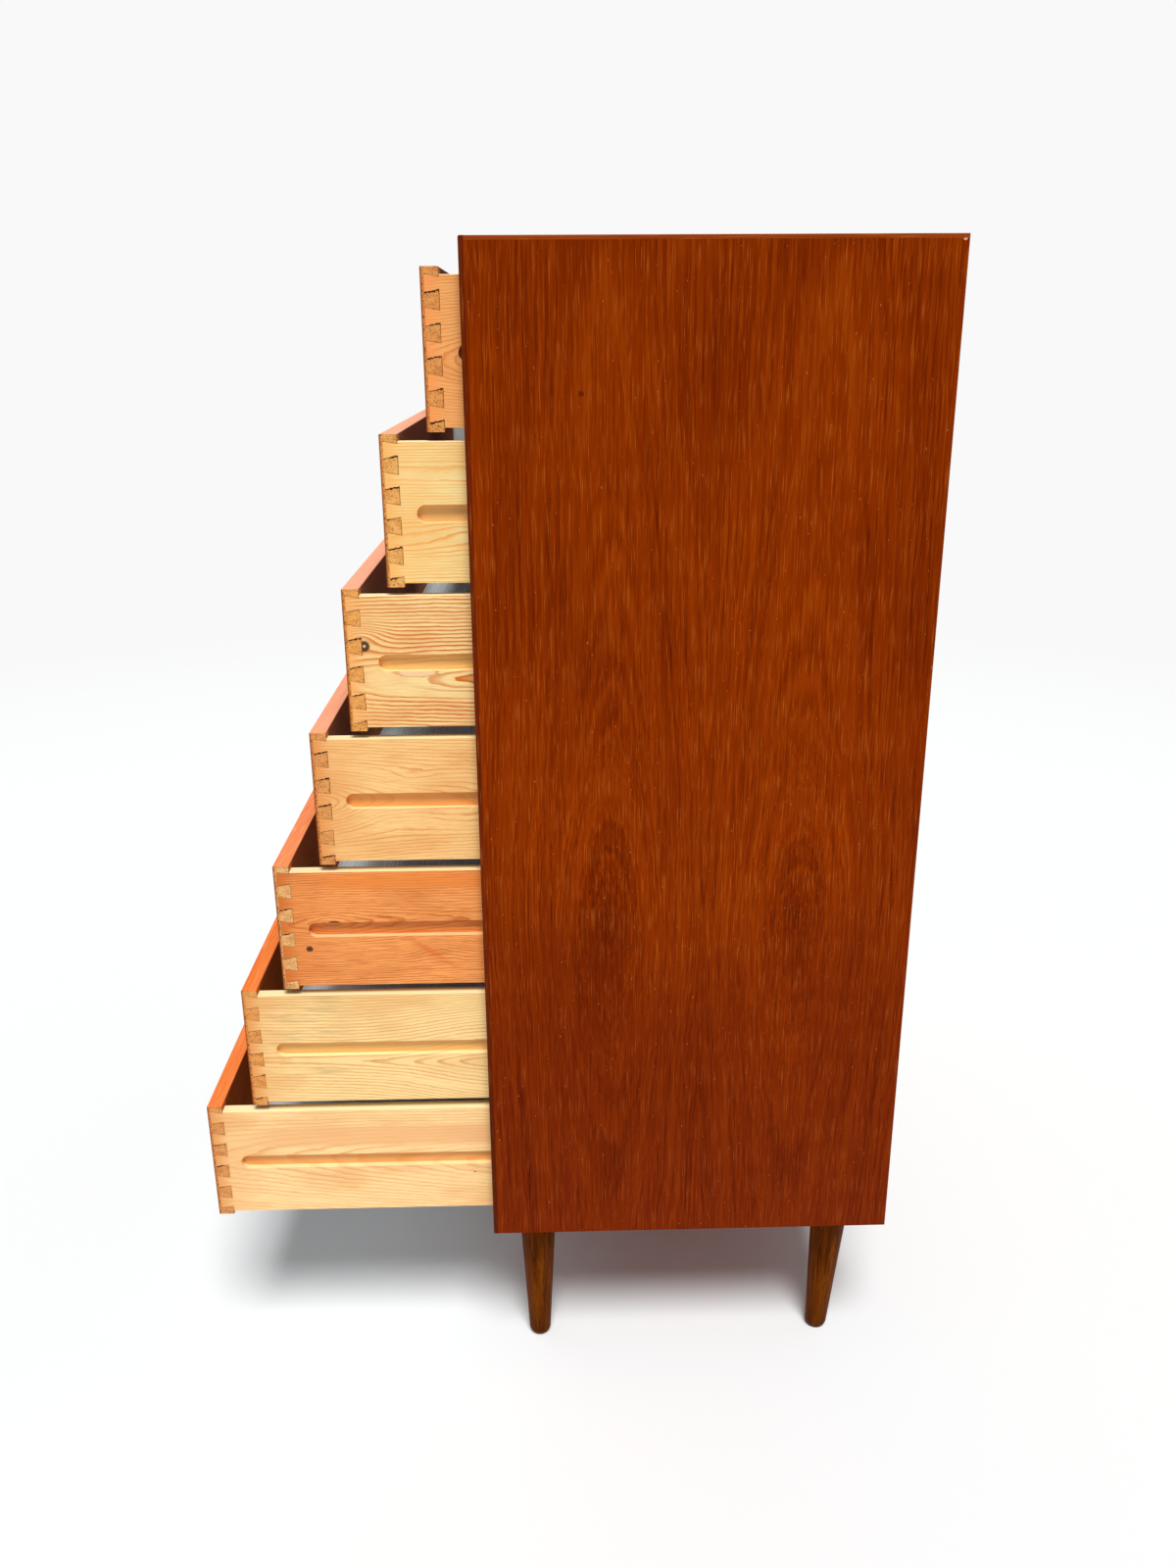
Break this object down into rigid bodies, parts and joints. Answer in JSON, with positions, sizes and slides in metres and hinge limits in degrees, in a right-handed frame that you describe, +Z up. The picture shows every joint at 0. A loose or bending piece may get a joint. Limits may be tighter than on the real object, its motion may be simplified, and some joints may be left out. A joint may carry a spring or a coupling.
{
  "type": "tall chest of drawers",
  "caption": "Tall teak chest of drawers on round tapered legs, with equal dovetailed side-hung drawers that stand open in a staircase.",
  "frame": {"origin": "on the floor, at the middle of the footprint of the whole chest as it stands with its drawers open", "axes": "+Z up, -Y the way the drawers open, +X to the right as seen from the front"},
  "size_m": [0.66, 0.6998, 1.1],
  "materials": {
    "teak_veneer": "oiled teak veneer, vertical grain on the sides",
    "teak_lipping": "oiled solid teak",
    "teak_front": "oiled solid teak, end grain at the dovetails",
    "teak_pull": "oiled solid teak",
    "pine_side": "lacquered pine",
    "pine_back": "lacquered pine",
    "grey_bottom": "grey satin painted board",
    "back_board": "plain veneered ply",
    "runner_beech": "waxed beech",
    "dowel_beech": "fluted beech",
    "stained_leg": "brown stained and lacquered beech",
    "plate_steel": "black painted steel",
    "screw_steel": "zinc plated steel"
  },
  "bodies": {
    "carcass": {"side_panel_left": "teak_veneer", "side_panel_right": "teak_veneer", "top_panel": "teak_veneer", "bottom_panel": "teak_veneer", "back_panel": "back_board", "front_edge_lippings": "teak_lipping", "top_edge_lippings": "teak_lipping", "drawer_runners": "runner_beech", "leg_front_left": "stained_leg", "leg_front_right": "stained_leg", "leg_rear_left": "stained_leg", "leg_rear_right": "stained_leg", "leg_plates": "plate_steel", "leg_studs": "screw_steel", "leg_plate_screws": "screw_steel", "runner_screws": "screw_steel", "back_screws": "screw_steel", "carcass_dowels": "dowel_beech"},
    "drawer_1": {"drawer_1_front": "teak_front", "drawer_1_side_left": "pine_side", "drawer_1_side_right": "pine_side", "drawer_1_back": "pine_back", "drawer_1_bottom": "grey_bottom", "drawer_1_pull": "teak_pull"},
    "drawer_2": {"drawer_2_front": "teak_front", "drawer_2_side_left": "pine_side", "drawer_2_side_right": "pine_side", "drawer_2_back": "pine_back", "drawer_2_bottom": "grey_bottom", "drawer_2_pull": "teak_pull"},
    "drawer_3": {"drawer_3_front": "teak_front", "drawer_3_side_left": "pine_side", "drawer_3_side_right": "pine_side", "drawer_3_back": "pine_back", "drawer_3_bottom": "grey_bottom", "drawer_3_pull": "teak_pull"},
    "drawer_4": {"drawer_4_front": "teak_front", "drawer_4_side_left": "pine_side", "drawer_4_side_right": "pine_side", "drawer_4_back": "pine_back", "drawer_4_bottom": "grey_bottom", "drawer_4_pull": "teak_pull"},
    "drawer_5": {"drawer_5_front": "teak_front", "drawer_5_side_left": "pine_side", "drawer_5_side_right": "pine_side", "drawer_5_back": "pine_back", "drawer_5_bottom": "grey_bottom", "drawer_5_pull": "teak_pull"},
    "drawer_6": {"drawer_6_front": "teak_front", "drawer_6_side_left": "pine_side", "drawer_6_side_right": "pine_side", "drawer_6_back": "pine_back", "drawer_6_bottom": "grey_bottom", "drawer_6_pull": "teak_pull"},
    "drawer_7": {"drawer_7_front": "teak_front", "drawer_7_side_left": "pine_side", "drawer_7_side_right": "pine_side", "drawer_7_back": "pine_back", "drawer_7_bottom": "grey_bottom", "drawer_7_pull": "teak_pull"}
  },
  "joints": [
    {"name": "drawer_1_slide", "type": "slide", "parent": "carcass", "child": "drawer_1", "axis": [0, -1, 0], "range_m": [-0.0321, 0.2679]},
    {"name": "drawer_2_slide", "type": "slide", "parent": "carcass", "child": "drawer_2", "axis": [0, -1, 0], "range_m": [-0.072, 0.228]},
    {"name": "drawer_3_slide", "type": "slide", "parent": "carcass", "child": "drawer_3", "axis": [0, -1, 0], "range_m": [-0.1119, 0.1881]},
    {"name": "drawer_4_slide", "type": "slide", "parent": "carcass", "child": "drawer_4", "axis": [0, -1, 0], "range_m": [-0.1491, 0.1509]},
    {"name": "drawer_5_slide", "type": "slide", "parent": "carcass", "child": "drawer_5", "axis": [0, -1, 0], "range_m": [-0.1929, 0.1071]},
    {"name": "drawer_6_slide", "type": "slide", "parent": "carcass", "child": "drawer_6", "axis": [0, -1, 0], "range_m": [-0.234, 0.066]},
    {"name": "drawer_7_slide", "type": "slide", "parent": "carcass", "child": "drawer_7", "axis": [0, -1, 0], "range_m": [-0.2799, 0.0201]}
  ]
}
